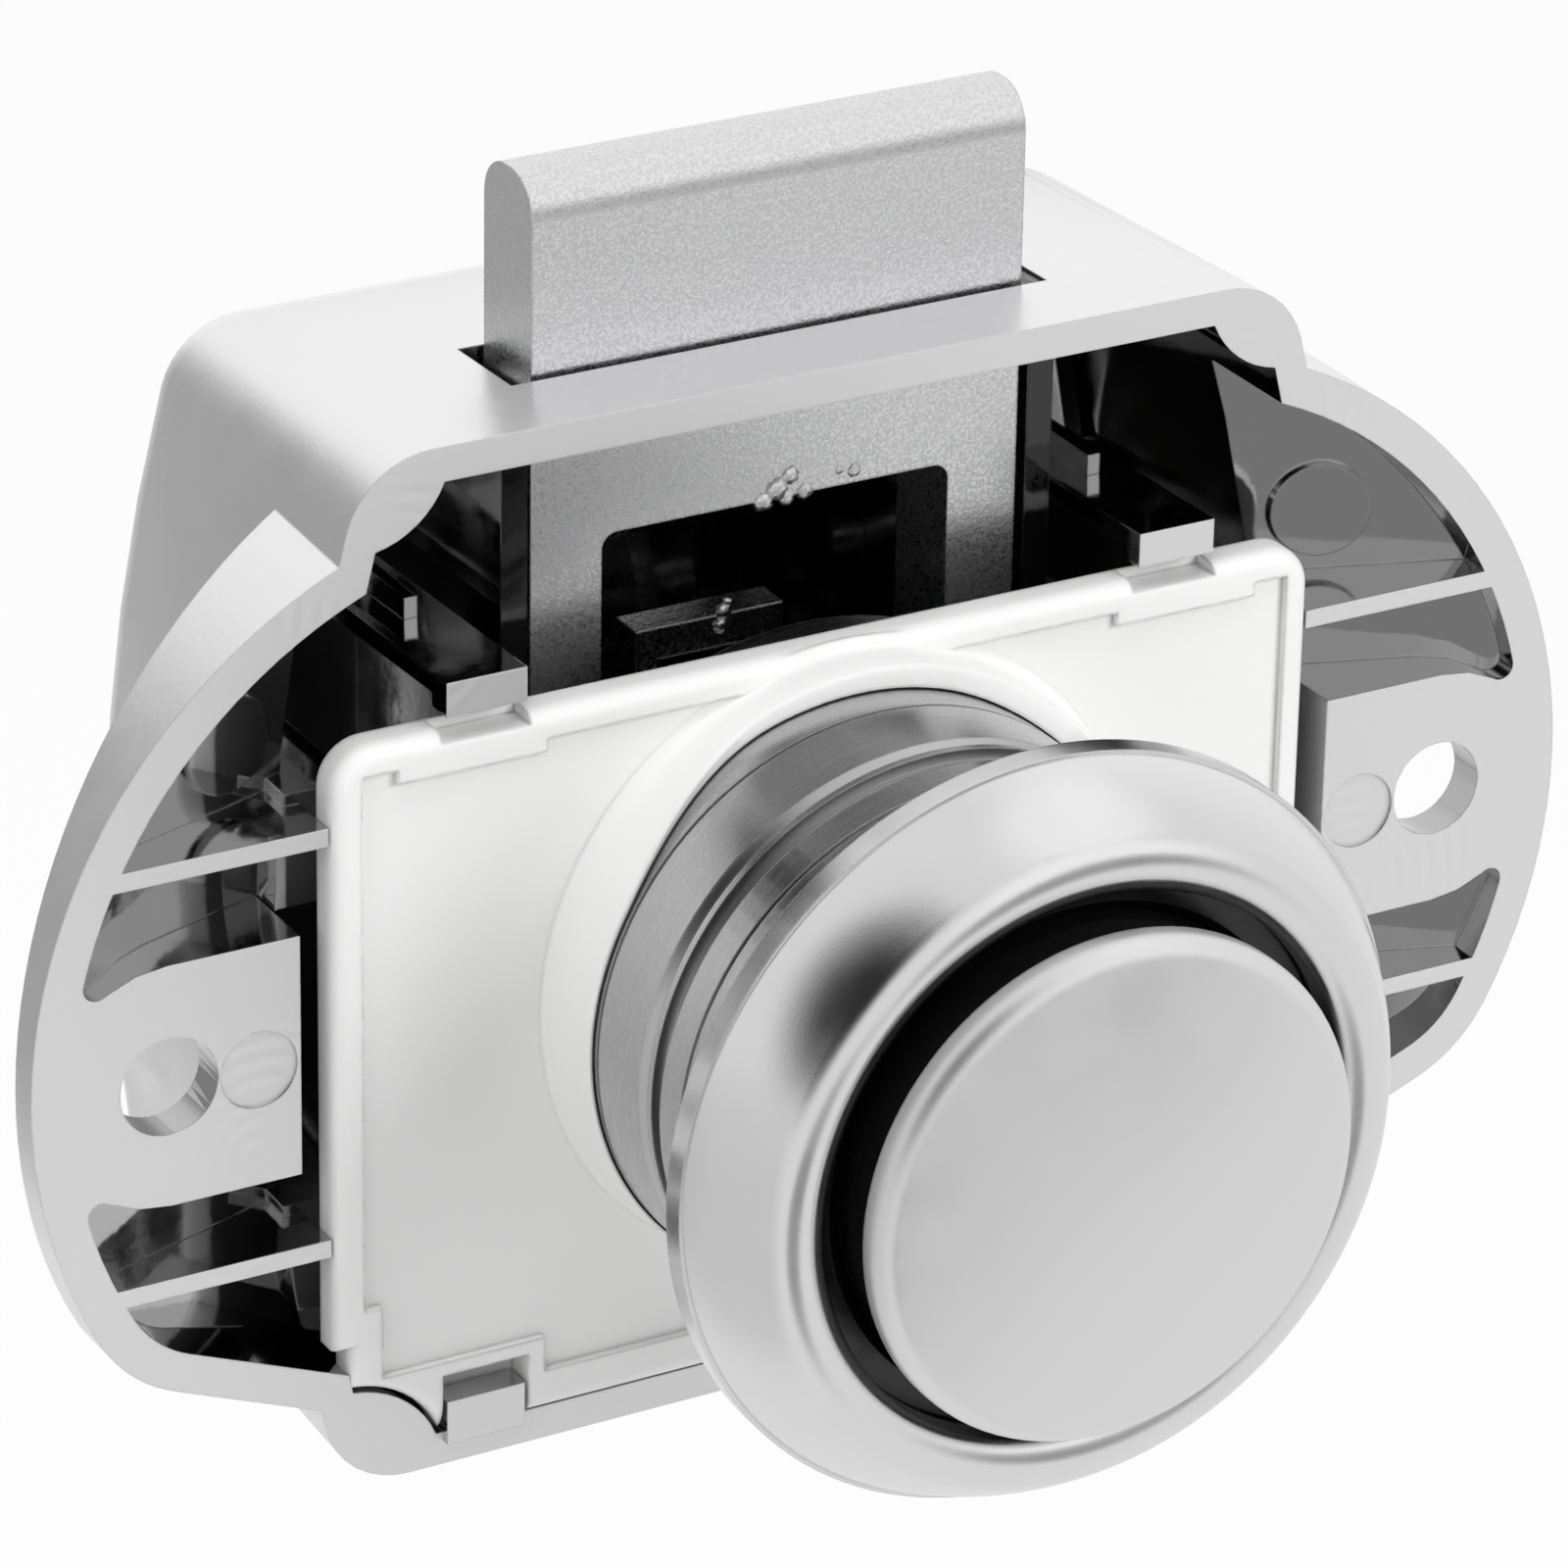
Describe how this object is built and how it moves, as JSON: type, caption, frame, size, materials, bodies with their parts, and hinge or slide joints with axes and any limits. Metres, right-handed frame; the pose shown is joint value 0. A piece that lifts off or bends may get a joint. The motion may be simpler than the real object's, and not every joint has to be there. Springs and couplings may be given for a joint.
{
  "type": "pushbutton cabinet latch",
  "caption": "Pushbutton cabinet latch: cast casing with screw ears, a bolt out of its top and a button on a threaded sleeve with a rosette.",
  "frame": {"origin": "on the button's axis, in the plane where the casing's front rim meets the door's inner face", "axes": "+X right seen from the button, +Y into the cabinet along the button's axis, +Z the way the bolt leaves"},
  "size_m": [0.072, 0.0438, 0.0539],
  "materials": {
    "casing": "satin nickel over cast zinc",
    "cover_plate": "moulded, slightly glossy",
    "sleeve": "satin nickel",
    "liner": "black, glossy",
    "rosette": "satin nickel",
    "button_cap": "satin nickel",
    "plunger": "black, glossy",
    "bolt": "nickel over a grainy casting",
    "driver": "nickel over a grainy casting",
    "steel": "drawn"
  },
  "bodies": {
    "frame": {"casing": "casing", "cover_plate": "cover_plate", "sleeve": "sleeve", "liner": "liner", "return_spring": "steel", "follower_wire": "steel", "follower_spring": "steel"},
    "rosette": {"rosette": "rosette"},
    "button": {"button_cap": "button_cap", "plunger": "plunger", "stem_pin": "steel", "driver": "driver"},
    "bolt": {"bolt": "bolt", "drive_pin": "steel"}
  },
  "joints": [
    {"name": "button_slide", "type": "slide", "parent": "frame", "child": "button", "axis": [0, -1, 0], "range_m": [-0.0006, 0.0085], "deforming": ["return_spring"]},
    {"name": "bolt_slide", "type": "slide", "parent": "frame", "child": "bolt", "axis": [0, 0, -1], "range_m": [-0.00057, 0.0081]},
    {"name": "rosette_screw", "type": "slide", "parent": "frame", "child": "rosette", "axis": [0, -1, 0], "range_m": [0, 0.0025]}
  ],
  "couplings": [
    {"joint": "bolt_slide", "follows": "button_slide", "ratio": 0.95294}
  ]
}
